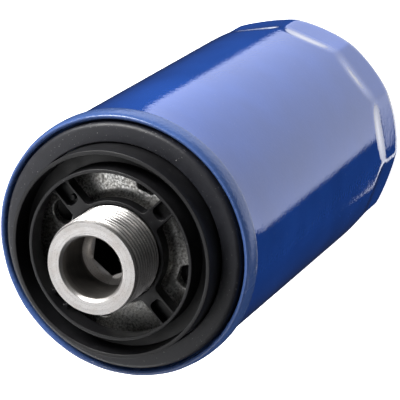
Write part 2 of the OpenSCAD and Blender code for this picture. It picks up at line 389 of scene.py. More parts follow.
def dress_node(frame: dict, node: str, material: bpy.types.Material) -> None:
    """Gives a CAD node that stays in view its material.

    Args:
        node: Name of the node.
        material: Its material.
    """
    give_finish(frame["nodes"][node], material)
    LOG.info("dressed %s with %s", node, material.name)


class Graph:
    """Builds the shader nodes of a material or world."""

    def __init__(self, owner: bpy.types.ID, shader: str = "Principled BSDF", place: str = "Object") -> None:
        """Starts the node tree.

        Args:
            owner: The material or world.
            shader: Name of its shader node.
            place: Texture coordinates to work in.
        """
        self.owner = owner
        owner.use_nodes = True
        self.tree = owner.node_tree
        self.shader = self.tree.nodes[shader]
        self.place = self.node("TexCoord", {}, place)

    def put(self, socket: Socket, value: object) -> None:
        """Links or sets an input.

        Args:
            socket: The input.
            value: A socket to link, or a value.
        """
        if isinstance(value, bpy.types.NodeSocket):
            self.tree.links.new(value, socket)
        else:
            socket.default_value = value

    def set(self, **values: object) -> None:
        """Sets the shader's inputs; a name has underscores for spaces."""
        for name, value in values.items():
            self.put(self.shader.inputs[name.replace("_", " ")], value)

    def node(self, kind: str, inputs: dict, out: str | int = 0, **settings: object) -> Socket:
        """Adds a node.

        Args:
            kind: Its type, without the prefix that all have.
            inputs: What each named or numbered input is set or linked to.
            out: Name or number of the output wanted.
            settings: The node's own options.

        Returns:
            The output.
        """
        made = self.tree.nodes.new("ShaderNode" + kind)
        for name, value in settings.items():
            setattr(made, name, value)
        for name, value in inputs.items():
            self.put(made.inputs[name], value)
        return made.outputs[out]

    def stretch(self, x: float, y: float, z: float) -> Socket:
        """Object coordinates scaled by a factor along each axis."""
        return self.node("Mapping", {"Vector": self.place, "Scale": (x, y, z)})

    def radius(self) -> Socket:
        """Distance from the filter's axis, in metres."""
        return self.node("VectorMath", {0: self.stretch(1, 1, 0)}, "Value", operation="LENGTH")

    def height(self) -> Socket:
        """Height above the closed end, in metres."""
        return self.node("SeparateXYZ", {0: self.place}, "Z")

    def noise(
        self, size: float, detail: float = 3.0, rough: float = 0.55, at: Socket | None = None
    ) -> Socket:
        """Noise texture.

        Args:
            size: Size of its largest features in millimetres.
            detail: Number of finer layers.
            rough: Strength of the finer layers.
            at: Coordinates, or object coordinates if left out.

        Returns:
            Its value from 0 to 1.
        """
        inputs = {"Vector": at or self.place, "Scale": 1 / (size * MM), "Detail": detail, "Roughness": rough}
        return self.node("TexNoise", inputs, "Fac")

    def cells(self, size: float) -> Socket:
        """Distance from the middle of the nearest cell, with cells of a size in millimetres."""
        return self.node("TexVoronoi", {"Vector": self.place, "Scale": 1 / (size * MM)}, "Distance")

    def add(self, a: object, b: object) -> Socket:
        """Sum of two sockets or numbers."""
        return self.node("Math", {0: a, 1: b}, operation="ADD")

    def times(self, *factors: object) -> Socket:
        """Multiplies.

        Args:
            factors: Sockets or numbers.

        Returns:
            Their product.
        """
        made = factors[0]
        for factor in factors[1:]:
            made = self.node("Math", {0: made, 1: factor}, operation="MULTIPLY")
        return made

    def fit(self, value: Socket, low: float, high: float, start: float = 0.0, end: float = 1.0) -> Socket:
        """Maps a range of a value to another, and stops at its ends."""
        ends = {"From Min": low, "From Max": high, "To Min": start, "To Max": end}
        return self.node("MapRange", {"Value": value, **ends})

    def rise(self, value: Socket, low: float, high: float) -> Socket:
        """Goes from 0 to 1 as a length in metres passes two marks in millimetres."""
        return self.fit(value, low * MM, high * MM)

    def fall(self, value: Socket, low: float, high: float) -> Socket:
        """Goes from 1 to 0 as a length in metres passes two marks in millimetres."""
        return self.fit(value, low * MM, high * MM, 1, 0)

    def blend(self, factor: object, a: object, b: object) -> Socket:
        """Mixes two colours."""
        return self.node("Mix", {"Factor": factor, 6: a, 7: b}, 2, data_type="RGBA")

    def bump(self, height: Socket, depth: float, under: Socket | None = None) -> Socket:
        """Bump from a height.

        Args:
            height: The height's socket, from 0 to 1.
            depth: Depth in millimetres of a height of 1.
            under: Normal of a bump beneath this one.

        Returns:
            The bent normal.
        """
        beneath = {} if under is None else {"Normal": under}
        return self.node("Bump", {"Distance": depth * MM, "Height": height, **beneath}, "Normal")


def tint(colour: Sequence[float], factor: float = 1.0) -> tuple[float, float, float, float]:
    """Linear colour with its alpha, made lighter or darker by a factor."""
    r, g, b = (c * factor for c in colour)
    return (r, g, b, 1.0)


class Finish:
    """A finish that can be made into a material."""

    def make(self, name: str) -> bpy.types.Material:
        """Builds the material.

        Args:
            name: Name of the material.

        Returns:
            The material.
        """
        g = Graph(bpy.data.materials.new(name))
        self.dress(g)
        return g.owner

    def dress(self, g: Graph) -> None:
        """Builds the finish's nodes."""
        raise NotImplementedError


@dataclass(frozen=True)
class Enamel(Finish):
    """Glossy blue enamel with orange peel and a little dust."""

    colour: Triple = (0.018, 0.075, 0.36)
    peel: float = 1.0
    peel_depth: float = 0.028
    gloss: Pair = (0.03, 0.07)
    coat: float = 0.6
    swell: float = 6.0
    swell_depth: float = 0.012

    def dress(self, g: Graph) -> None:
        """Builds the finish's nodes.

        Args:
            g: Graph of the material.
        """
        tone = g.fit(g.noise(16, 2), 0.3, 0.7)
        base = g.blend(tone, tint(self.colour, 0.9), tint(self.colour, 1.1))
        dust = g.fit(g.noise(0.32, 1), 0.74, 0.8)
        base = g.blend(g.times(dust, 0.35), base, (0.25, 0.32, 0.5, 1))
        smear = g.fit(g.noise(9, 4, 0.65), 0.35, 0.75, *self.gloss)
        g.set(Base_Color=base, Roughness=g.add(smear, g.times(dust, 0.3)))
        g.set(Coat_Weight=self.coat, Coat_Roughness=0.02, IOR=1.5)
        wave = g.bump(g.noise(self.swell, 1, 0.4), self.swell_depth)
        skin = g.bump(g.noise(self.peel, 2, 0.5), self.peel_depth, wave)
        g.set(Normal=skin, Coat_Normal=skin)


@dataclass(frozen=True)
class TurnedSteel(Finish):
    """Bright turned steel with tool rings, fine scratches and a little staining, painted shade in the thread
    roots, the bore and the hexagon, and a painted highlight on the thread crests.
    """

    colour: Triple = (0.57, 0.557, 0.55)
    ring: float = 0.16
    bore: float = 8.7
    # Painted shade: darker colour for the bore's wall and the hexagon below it.
    bore_shade_colour: Triple = (0.2, 0.19, 0.18)
    root: Pair = (12.72, 13.4)
    root_top: float = 152.1
    hex_top: float = 138.1

    def dress(self, g: Graph) -> None:
        """Builds the finish's nodes.

        Args:
            g: Graph of the material.
        """
        away, level = g.radius(), g.height()
        around = g.node("CombineXYZ", {0: away, 2: level})
        rings = g.noise(self.ring, 2, 0.6, around)
        wide = g.noise(1.1, 2, 0.5, around)
        stain = g.fit(g.noise(3.2, 4, 0.6), 0.45, 0.72)
        speck = g.fit(g.noise(0.3, 2), 0.60, 0.68)
        low, high = self.root
        root = g.times(
            g.fall(away, low, high),
            g.rise(away, low - 0.3, low - 0.1),
            g.fall(level, self.root_top - 0.3, self.root_top),
        )
        crest_highlight = g.rise(away, high, high + 0.06)
        bore = self.bore
        wall = g.times(g.rise(away, bore - 0.16, bore - 0.03), g.fall(away, bore + 0.1, bore + 0.3))
        deep_shade = g.times(g.fall(level, self.hex_top - 0.3, self.hex_top), g.fall(away, bore - 0.3, bore - 0.2))
        tone = g.blend(g.fit(rings, 0.3, 0.7), tint(self.colour, 0.78), tint(self.colour, 1.12))
        tone = g.blend(g.times(stain, 0.4), tone, (0.42, 0.37, 0.33, 1))
        tone = g.blend(g.times(speck, 0.7), tone, (0.12, 0.1, 0.09, 1))
        # Painted shade: the thread roots are darkened almost to black.
        tone = g.blend(g.times(root, 0.9), tone, tint(self.colour, 0.06))
        # Painted highlight: the thread crests are painted lighter.
        tone = g.blend(g.times(crest_highlight, 0.7), tone, tint(self.colour, 1.45))
        # Painted shade: the bore's wall gets a darker colour.
        bore_shade_tone = g.blend(rings, tint(self.bore_shade_colour, 0.6), tint(self.bore_shade_colour, 1.4))
        tone = g.blend(wall, tone, bore_shade_tone)
        # Painted shade: the hexagon deep inside is painted near-black.
        tone = g.blend(deep_shade, tone, tint(self.bore_shade_colour, 0.25))
        rough = g.add(g.fit(wide, 0.3, 0.7, 0.26, 0.38), g.times(stain, 0.12))
        rough = g.add(rough, g.times(wall, 0.1))
        g.set(Base_Color=tone, Metallic=0.95, Roughness=rough)
        g.set(Normal=g.bump(g.noise(0.3, 3), 0.012, g.bump(rings, 0.006)))


@dataclass(frozen=True)
class ZincPlate(Finish):
    """Dull zinc with small bright and dark grains."""

    colour: Triple = (0.52, 0.52, 0.51)

    def dress(self, g: Graph) -> None:
        """Builds the finish's nodes.

        Args:
            g: Graph of the material.
        """
        grains = g.fit(g.noise(0.7, 3, 0.7), 0.38, 0.62)
        cloud = g.noise(5, 3)
        tone = g.blend(grains, tint(self.colour, 0.42), tint(self.colour, 1.4))
        tone = g.blend(g.fit(cloud, 0.4, 0.7, 0, 0.35), tone, (0.3, 0.27, 0.22, 1))
        g.set(Base_Color=tone, Metallic=0.85, Roughness=g.fit(grains, 0, 1, 0.5, 0.3))
        g.set(Normal=g.bump(g.noise(0.45, 3, 0.6), 0.02))


@dataclass(frozen=True)
class Rubber(Finish):
    """Moulded black rubber with a handled film, dust, pale specks and a fine grain."""

    colour: Triple = (0.01, 0.0105, 0.0145)
    dusty: Triple = (0.3, 0.29, 0.29)
    rough: float = 0.5
    dust: float = 0.8
    specular: float = 0.42
    film: tuple[float, float, float, float] = (2.6, 0.65, 0.4, 0.75)
    film_share: float = 0.5
    film_tone: float = 1.9
    film_rough: Pair = (0.06, 0.1)
    specks: Pair = (0.72, 0.76)
    speck_rough: float = 0.2
    grain: Pair = (0.9, 0.05)
    swell: Pair = (2.2, 0.02)

    def dress(self, g: Graph) -> None:
        """Builds the finish's nodes.

        Args:
            g: Graph of the material.
        """
        size, finer, low, high = self.film
        film = g.fit(g.noise(size, 5, finer), low, high)
        specks = g.fit(g.noise(0.5, 1), *self.specks)
        tone = g.blend(g.times(film, self.film_share), tint(self.colour), tint(self.colour, self.film_tone))
        tone = g.blend(g.times(specks, self.dust), tone, tint(self.dusty))
        smooth, worn = self.film_rough
        rough = g.fit(film, 0, 1, self.rough - smooth, self.rough + worn)
        rough = g.add(rough, g.times(specks, self.speck_rough))
        g.set(Base_Color=tone, Specular_IOR_Level=self.specular, Roughness=rough)
        grain = g.bump(g.noise(self.grain[0], 3, 0.75), self.grain[1])
        g.set(Normal=g.bump(g.noise(self.swell[0], 2), self.swell[1], grain))


@dataclass(frozen=True)
class MouldedPlastic(Rubber):
    """Satin plastic with a fine spark-eroded texture and dust."""

    colour: Triple = (0.006, 0.006, 0.007)
    dusty: Triple = (0.16, 0.16, 0.17)
    rough: float = 0.44
    dust: float = 0.5
    specular: float = 0.36
    film: tuple[float, float, float, float] = (4.0, 0.6, 0.42, 0.74)
    film_share: float = 0.4
    film_tone: float = 2.0
    film_rough: Pair = (0.05, 0.08)
    specks: Pair = (0.745, 0.785)
    speck_rough: float = 0.3
    grain: Pair = (0.7, 0.02)
    swell: Pair = (1.6, 0.008)


@dataclass(frozen=True)
class PressedSteel(Finish):
    """Thin bright sheet with drawing lines, an oil film and a few dull patches."""

    colour: Triple = (0.56, 0.56, 0.55)
    rough: float = 0.3

    def dress(self, g: Graph) -> None:
        """Builds the finish's nodes.

        Args:
            g: Graph of the material.
        """
        lines = g.noise(0.5, 2, 0.6, g.stretch(1, 1, 0.06))
        patches = g.fit(g.noise(7, 4, 0.6), 0.4, 0.7)
        tone = g.blend(lines, tint(self.colour, 0.86), tint(self.colour, 1.08))
        tone = g.blend(g.times(patches, 0.3), tone, (0.34, 0.3, 0.24, 1))
        rough = g.fit(patches, 0, 1, self.rough, self.rough + 0.18)
        g.set(Base_Color=tone, Metallic=0.95, Roughness=rough)
        g.set(Normal=g.bump(lines, 0.004, g.bump(g.noise(6, 2), 0.02)))


@dataclass(frozen=True)
class Adhesive(Finish):
    """Cured adhesive with a few pores and a slow swell."""

    colour: Triple = (0.55, 0.47, 0.33)

    def dress(self, g: Graph) -> None:
        """Builds the finish's nodes.

        Args:
            g: Graph of the material.
        """
        pores = g.fit(g.cells(1.4), 0.0, 0.22)
        tone = g.blend(g.noise(3, 3), tint(self.colour, 0.85), tint(self.colour, 1.1))
        # Painted shade: the pores are painted darker inside.
        tone = g.blend(pores, tint(self.colour, 0.45), tone)
        rough = g.fit(g.noise(2, 3), 0.3, 0.7, 0.42, 0.6)
        g.set(Base_Color=tone, Roughness=rough, Subsurface_Weight=0.05)
        g.set(Normal=g.bump(pores, 0.05, g.bump(g.noise(4, 2), 0.12)))


@dataclass(frozen=True)
class FilterPaper(Finish):
    """Resin-treated paper with fibres and rolled grooves."""

    colour: Triple = (0.62, 0.42, 0.19)

    def dress(self, g: Graph) -> None:
        """Builds the finish's nodes.

        Args:
            g: Graph of the material.
        """
        fibres = g.noise(0.5, 4, 0.7, g.stretch(1, 1, 0.3))
        wave = {"Vector": g.place, "Scale": 180, "Distortion": 0.6}
        grooves = g.node("TexWave", wave, "Fac", bands_direction="Z")
        tone = g.blend(fibres, tint(self.colour, 0.75), tint(self.colour, 1.15))
        tone = g.blend(g.fit(g.noise(12, 3), 0.45, 0.7, 0, 0.3), tone, tint(self.colour, 0.7))
        g.set(Base_Color=tone, Roughness=g.fit(fibres, 0.3, 0.7, 0.8, 0.95), Specular_IOR_Level=0.25)
        g.set(Normal=g.bump(fibres, 0.03, g.bump(grooves, 0.06)))


class Palette:
    """Every finish of the filter, made once."""

    def __init__(self) -> None:
        """Builds the materials."""
        self.enamel = Enamel().make("glossy_blue_enamel")
        # Painted shade and sheen: the bead's copy of the can enamel is painted darker and greyer; its
        # rougher, deeper peel is real.
        self.seam_enamel_shade_sheen = Enamel(
            colour=(0.05, 0.098, 0.27),
            peel=1.1,
            peel_depth=0.13,
            gloss=(0.2, 0.34),
            coat=0.2,
            swell=3.0,
            swell_depth=0.03,
        ).make("seam_blue_enamel_painted_shade_sheen")
        self.zinc = ZincPlate().make("grained_zinc")
        self.turned = TurnedSteel().make("turned_steel_rings")
        self.gasket = Rubber().make("dusty_gasket_rubber")
        self.valve = Rubber(colour=(0.014, 0.014, 0.016), rough=0.32, dust=0.1).make("oiled_valve_rubber")
        self.nylon = MouldedPlastic().make("satin_black_nylon")
        self.tinned = PressedSteel().make("drawn_tinned_steel")
        self.adhesive = Adhesive().make("cured_adhesive")
        self.paper = FilterPaper().make("treated_filter_paper")
        self.acetal = MouldedPlastic(
            colour=(0.62, 0.6, 0.52), dusty=(0.4, 0.36, 0.28), rough=0.36, dust=0.2
        ).make("moulded_acetal")
        self.wire = PressedSteel(colour=(0.3, 0.3, 0.31), rough=0.28).make("oiled_spring_wire")


@dataclass
class Can:
    """The drawn can with its wrench flats, and the seaming lid rolled over its edge."""

    radius: float = 37.2
    wall: float = 0.55
    corner: float = 9.0
    flat_count: int = 12
    flat_depth: float = 1.35
    flat_turn: float = 13.0
    shoulder: float = 20.0
    shoulder_slope: float = 0.29
    shoulder_run: float = 8.0
    shoulder_soft: float = 1.2
    edge_soft: float = 0.8
    neck: float = 126.2
    hem: float = 128.0
    bend: float = 132.55
    waist: float = 129.2
    seam: float = 38.1
    groove: float = 36.2
    lid: float = 0.4
    lid_floor: float = 28.8
    columns: int = 360

    def _wall_radius(self, turn: float, height: float, plain: float, flat: float) -> float:
        """Radius of the can's skin where the flats cut it.

        Args:
            turn: Angle about the axis in radians.
            height: Height above the closed end.
            plain: Radius without flats at that height.
            flat: Distance of a flat's middle from the axis.

        Returns:
            The radius.
        """
        if height > self.shoulder + self.shoulder_run:
            return plain
        step = 360 / self.flat_count
        off = (math.degrees(turn) - self.flat_turn) % step - step / 2
        ramp = flat + (height - self.shoulder) * self.shoulder_slope
        cut = smooth_max(flat, ramp, self.shoulder_soft) / math.cos(math.radians(off))
        return smooth_min(plain, cut, self.edge_soft)

    def _skin(self, radius: float, base: float, corner: float, flat: float, top: float) -> list[Row]:
        """Rings of one skin of the can, from the closed end up.

        Args:
            radius: Radius of the body.
            base: Height of the closed end's face.
            corner: Radius of the corner to the closed end.
            flat: Distance of a flat's middle from the axis.
            top: Height of the highest ring.

        Returns:
            The rings' points.
        """
        outline = [((radius - corner) * k / 6, base) for k in range(1, 6)]
        outline += arc_points((radius - corner, base + corner), corner, -90, 0, 16)
        low, high = base + corner, self.shoulder + self.shoulder_run
        outline += [(radius, low + (high - low) * k / 34) for k in range(1, 35)]
        outline += [(radius, high + (top - high) * k / 16) for k in range(1, 17)]
        rows = []
        for r, z in outline:
            rows.append([spin(t, self._wall_radius(t, z, r, flat), z) for t in turns_of(self.columns)])
        return rows

    def can(self) -> bpy.types.Object:
        """Makes the drawn can.

        Returns:
            The mesh object.
        """
        s = Sketch()
        outer = s.rings(self._skin(self.radius, 0, self.corner, self.radius - self.flat_depth, self.neck))
        inner_r = self.radius - self.wall
        inner = s.rings(
            self._skin(inner_r, self.wall, self.corner - self.wall, inner_r - self.flat_depth, self.neck)
        )
        s.disc(outer[0], 0)
        s.disc(inner[0], self.wall)
        rise, out = self.hem - self.neck, self.seam - 0.12 - self.radius
        sweep = (rise**2 + out**2) / (2 * out)
        ups = [rise * k / 8 for k in range(9)]
        edge = [(self.radius + sweep - math.sqrt(sweep**2 - up**2), self.neck + up) for up in ups]
        edge += [(self.seam - 0.3, self.hem + 0.1), (self.radius + 0.1, self.hem + 0.12)]
        edge += [(self.radius + 0.1, self.bend)]
        edge += [(inner_r, self.bend), (inner_r, self.neck)]
        s.lathe(edge, self.columns, closed=False)
        return s.build("can_shell", 50)

    def _quarter(self, centre: Pair, wide: float, high: float, steps: Iterable[int]) -> Loop:
        """Points at some eighteenths of a quarter ellipse, from its side to its top."""
        turns = [math.radians(5 * k) for k in steps]
        return [(centre[0] + wide * math.cos(a), centre[1] + high * math.sin(a)) for a in turns]

    def _swell(self, turn: float) -> float:
        """Unevenness that the rollers leave in the bead."""
        return 0.035 * math.sin(9 * turn + 0.6) + 0.025 * math.sin(23 * turn + 1.9)

    def rolled_seam(self) -> bpy.types.Object:
        """Makes the seaming lid with its rolled bead.

        Returns:
            The mesh object.
        """
        mid, out = (self.groove + self.seam) / 2, (self.seam - self.groove) / 2
        floor, rise = self.hem, self.bend - self.waist
        foot = [(self.seam - self.lid, floor, 0.1), (self.seam, floor, 0.24), (self.seam, self.waist, 0)]
        outline = rounded(foot, 4)
        outline += self._quarter((mid, self.waist), out, rise + out, range(1, 19))
        outline += arc_points((mid, self.bend), out, 100, 170, 7)
        over = floor + self.lid
        outline += [(self.groove, self.bend), (self.groove, over + 0.3), (self.groove - 0.3, over)]
        outline += [(self.lid_floor, over), (self.lid_floor, floor)]
        outline += [(self.groove + self.lid, floor), (self.groove + self.lid, self.bend)]
        outline += arc_points((mid, self.bend), out - self.lid, 170, 100, 4)
        inner = out - self.lid
        outline += self._quarter((mid, self.waist), inner, rise + inner, range(18, -1, -2))
        s = Sketch()
        rows = []
        for r, z in outline:
            share = 1.0 if z > self.hem + 1 and r > mid else 0.0
            turns = turns_of(self.columns)
            rows.append([spin(t, min(r + share * self._swell(t), self.seam), z) for t in turns])
        s.rings(rows, closed=True)
        return s.build("rolled_seam", 50)

    def build(self, palette: Palette) -> None:
        """Makes and dresses the can and the seam."""
        place(self.can(), Slot.ENAMEL, palette.enamel, "canister")
        # The seam gets the enamel copy with painted shade and sheen.
        place(self.rolled_seam(), Slot.ENAMEL, palette.seam_enamel_shade_sheen, "seaming_lid")


@dataclass
class Gasket:
    """Square-section rubber ring with a round outer edge."""

    inner: float = 30.0
    outer: float = 35.4
    foot: float = 128.4
    face: float = 134.0
    outer_edge: float = 1.3
    inner_edge: float = 0.4

    def build(self, palette: Palette) -> None:
        """Makes and dresses the gasket.

        Args:
            palette: The finishes.
        """
        outline = rounded(
            [
                (self.inner, self.foot, 0.3),
                (self.outer, self.foot, 0.4),
                (self.outer, self.face, self.outer_edge),
                (self.inner, self.face, self.inner_edge),
            ],
            6,
        )
        s = Sketch()
        s.lathe(outline, 288)
        place(s.build("gasket_ring"), Slot.GASKET, palette.gasket, "sealing_gasket")


@dataclass
class Insert:
    """Moulded insert: two rims with a trough between them, a hub and channel-shaped spokes."""

    outer: float = 29.65
    trough_outer: float = 28.5
    trough_inner: float = 24.4
    port: float = 23.4
    port_foot: float = 24.0
    rim_top: float = 141.3
    trough_floor: float = 134.0
    underside: float = 132.5
    skirt_foot: float = 128.4
    hub_inner: float = 13.75
    hub_outer: float = 14.75
    top: float = 138.2
    web_low: float = 134.6
    web_high: float = 135.6
    spokes: int = 4
    rib_gap: float = 4.8
    rib: float = 0.66
    channel_start: float = 17.2
    edge: float = 0.16
    skirt: float = 0.9
    land: float = 0.2
    hub_fillet: float = 1.5
    window_fillet: float = 1.3
    channel_fillet: float = 0.8
    segments: int = 240
    stub_spoke: int = 1
    stub: float = 0.85
    stub_at: float = 18.9
    stub_height: float = 1.5

    def _rim_radius(self, z: float) -> float:
        """Radius of the inner rim's sloping wall at a height."""
        share = (self.rim_top - z) / (self.rim_top - self.web_low)
        return self.port + (self.port_foot - self.port) * share

    def _window(self, index: int, inset: float, z: float) -> Loop:
        """Outline of the opening between two spokes.

        Args:
            index: Number of the opening.
            inset: How far the outline lies inside the nominal one.
            z: Height of the outline.

        Returns:
            The outline's points.
        """
        side = self.rib_gap / 2 + self.rib / 2 + inset
        hub, rim = self.hub_outer + inset, self._rim_radius(z) + 0.03
        hub_fillet, rim_fillet = self.hub_fillet - inset, self.window_fillet
        hub_x = math.sqrt((hub + hub_fillet) ** 2 - (side + hub_fillet) ** 2)
        rim_x = math.sqrt((rim - rim_fillet) ** 2 - (side + rim_fillet) ** 2)
        hub_a = math.degrees(math.atan2(side + hub_fillet, hub_x))
        rim_a = math.degrees(math.atan2(side + rim_fillet, rim_x))
        bisector = 180 / self.spokes
        half = arc_points((0, 0), hub, bisector, hub_a, 10)[:-1]
        half += arc_points((hub_x, side + hub_fillet), hub_fillet, hub_a + 180, 270, 7)
        half += arc_points((rim_x, side + rim_fillet), rim_fillet, -90, rim_a, 7)
        half += arc_points((0, 0), rim, rim_a, bisector, 14)[1:]
        other = turned([(x, -y) for x, y in half], 2 * bisector)
        return turned(half + other[::-1][1:-1], index * 360 / self.spokes)

    def _channel(self, index: int, inset: float, z: float) -> Loop:
        """Outline of the recess between a spoke's two ribs.

        Args:
            index: Number of the spoke.
            inset: How far the outline lies inside the nominal one.
            z: Height of the outline.

        Returns:
            The outline's points.
        """
        side = self.rib_gap / 2 - self.rib / 2 - inset
        start, rim = self.channel_start + inset, self._rim_radius(z) + 0.03
        inner_fillet, rim_fillet = self.hub_fillet - inset, self.channel_fillet
        rim_x = math.sqrt((rim - rim_fillet) ** 2 - (side - rim_fillet) ** 2)
        rim_a = math.degrees(math.atan2(side - rim_fillet, rim_x))
        upper = arc_points((0, 0), rim, 0, rim_a, 5)[:-1]
        upper += arc_points((rim_x, side - rim_fillet), rim_fillet, rim_a, 90, 5)
        upper += arc_points((start + inner_fillet, side - inner_fillet), inner_fillet, 90, 180, 7)
        return turned(upper + [(x, -y) for x, y in upper[::-1][:-1]], index * 360 / self.spokes)

    def _edge_steps(self, top: float, floor: float) -> Loop:
        """Steps of (inset, height) down a moulded wall with a round upper edge."""
        steps = [(-self.edge * inward, top - self.edge * down) for inward, down in quarter_steps(4)]
        return [*steps, (0.03, floor)]

    def _stub(self, s: Sketch) -> None:
        """Adds the moulding gate's stub on the floor of one spoke's channel.

        Args:
            s: The sketch to add it to.
        """
        top = self.web_high + self.stub_height
        centre = turned([(self.stub_at, 0.0)], 360 * self.stub_spoke / self.spokes)[0]
        sides = ((1.0, self.web_high - 0.2), (1.0, top - 0.25), (0.9, top - 0.06), (0.72, top))
        made = s.stack([(circle(self.stub * r, 36, centre), z) for r, z in (*sides, (0.3, top - 0.2))])
        s.faces += [tuple(made[-1]), tuple(made[0])]

    def spider(self) -> Sketch:
        """Makes the hub and spokes.

        Returns:
            The sketch of the closed mesh.
        """
        s = Sketch()
        outer = circle(self.port_foot + 0.2, self.segments)
        down = self._edge_steps(self.top, self.web_low)
        channel = self._edge_steps(self.top, self.web_high)
        for i in range(self.spokes):
            s.stack([(self._window(i, *step), step[1]) for step in down])
            s.stack([(self._channel(i, *step), step[1]) for step in channel])
            s.plate([self._channel(i, *channel[-1])], self.web_high)
        s.stack([(circle(self.hub_inner - inset, self.segments), z) for inset, z in down])
        s.stack([(outer, self.top), (outer, self.web_low)])
        first, last = down[0], down[-1]
        top_holes = [self._window(i, *first) for i in range(self.spokes)]
        top_holes += [self._channel(i, *channel[0]) for i in range(self.spokes)]
        s.plate([outer, circle(self.hub_inner - first[0], self.segments), *top_holes], self.top)
        low_holes = [self._window(i, *last) for i in range(self.spokes)]
        s.plate([outer, circle(self.hub_inner - last[0], self.segments), *low_holes], self.web_low)
        return s

    def build(self, palette: Palette) -> None:
        """Makes and dresses the insert.

        Args:
            palette: The finishes.
        """
        s = self.spider()
        self._stub(s)
        land, skirt_inner = self.land, self.outer - self.skirt
        low, high, floor = self.underside, self.rim_top, self.trough_floor
        outline = rounded(
            [
                (skirt_inner, self.skirt_foot, 0.1), (self.outer, self.skirt_foot, 0.1),
                (self.outer, high, land), (self.trough_outer, high, land),
                (self.trough_outer, floor, 0.35), (self.trough_inner, floor, 0.35),
                (self.trough_inner, high, land), (self.port, high, land),
                (self.port_foot, self.web_low, 0.12),
                (self.port_foot + self.web_low - low, low, 0.2), (skirt_inner, low, 0.3),
            ],
            4,
        )
        s.lathe(outline, 288)
        place(s.build("insert_moulding", 35), Slot.NYLON, palette.nylon, "spoked_insert")


@dataclass
class BasePlate:
    """Pressed plate with a swept-up collar round the spigot and rolled-in inlet holes."""

    bore: float = 13.25
    collar_r: float = 14.5
    collar_top: float = 134.2
    face: float = 131.0
    sweep: float = 2.6
    underside: float = 127.8
    neck_r: float = 16.2
    neck_low: float = 123.5
    flat_outer: float = 27.2
    step_r: float = 28.0
    underside_outer: float = 26.6
    rim_outer: float = 35.9
    rim_z: float = 128.0
    thickness: float = 3.0
    hole_r: float = 3.4
    hole_pitch: float = 20.1
    hole_turn: float = 26.0
    hole_count: int = 4
    hole_roll: float = 0.5
    dish: float = 0.9
    segments: int = 240

    def _holes(self, radius: float) -> list[Loop]:
        """Outlines of the inlet holes at a radius."""
        places = [math.radians(self.hole_turn + i * 360 / self.hole_count) for i in range(self.hole_count)]
        return [circle(radius, 48, spin(a, self.hole_pitch, 0)[:2]) for a in places]

    def _lower(self, point: Triple, inner: float) -> Triple:
        """Lowers a point of the upper side with the plate's shallow dish.

        Args:
            point: The point.
            inner: Radius where the dish starts.

        Returns:
            The point's new place.
        """
        x, y, z = point
        share = (math.hypot(x, y) - inner) / (self.flat_outer - inner)
        return (x, y, z - self.dish * min(1.0, max(0.0, share)) if z > self.face - 1 else z)

    def build(self, palette: Palette) -> None:
        """Makes and dresses the plate.

        Args:
            palette: The finishes.
        """
        s = Sketch()
        inner_flat = self.collar_r + self.sweep
        step, low = self.step_r, self.rim_z - self.thickness
        upper = [(self.flat_outer, self.face), (step, self.face - 0.5)]
        upper += [(step + 0.6, self.rim_z + 0.5), (step + 1.3, self.rim_z), (self.rim_outer, self.rim_z)]
        upper += [(self.rim_outer, low), (step + 0.3, low), (self.underside_outer, self.underside)]
        s.lathe(upper, self.segments, closed=False)
        lower = [(self.neck_r, self.underside), (self.neck_r, self.neck_low), (self.bore, self.neck_low)]
        lower += [(self.bore, self.collar_top - 0.25), (self.bore + 0.25, self.collar_top)]
        lower += arc_points((self.collar_r - 0.4, self.collar_top - 0.4), 0.4, 90, 0, 4)
        sweep = arc_points((inner_flat, self.face + self.sweep), self.sweep, 180, 270, 12)
        s.lathe(lower + sweep, self.segments, closed=False)
        roll = self.hole_roll
        steps = [(self.hole_r + roll * out, self.face - roll * down) for out, down in quarter_steps(5)]
        steps.append((self.hole_r, self.underside))
        for i in range(self.hole_count):
            s.stack([(self._holes(r)[i], z) for r, z in steps])
        outer, inner = circle(self.flat_outer, self.segments), circle(inner_flat, self.segments)
        s.plate([outer, inner, *self._holes(steps[0][0])], self.face)
        outer, inner = circle(self.underside_outer, self.segments), circle(self.neck_r, self.segments)
        s.plate([outer, inner, *self._holes(self.hole_r)], self.underside)
        s.points = [self._lower(point, inner_flat) for point in s.points]
        place(s.build("pressed_base_plate", 40), Slot.ZINC, palette.zinc, "base_plate")


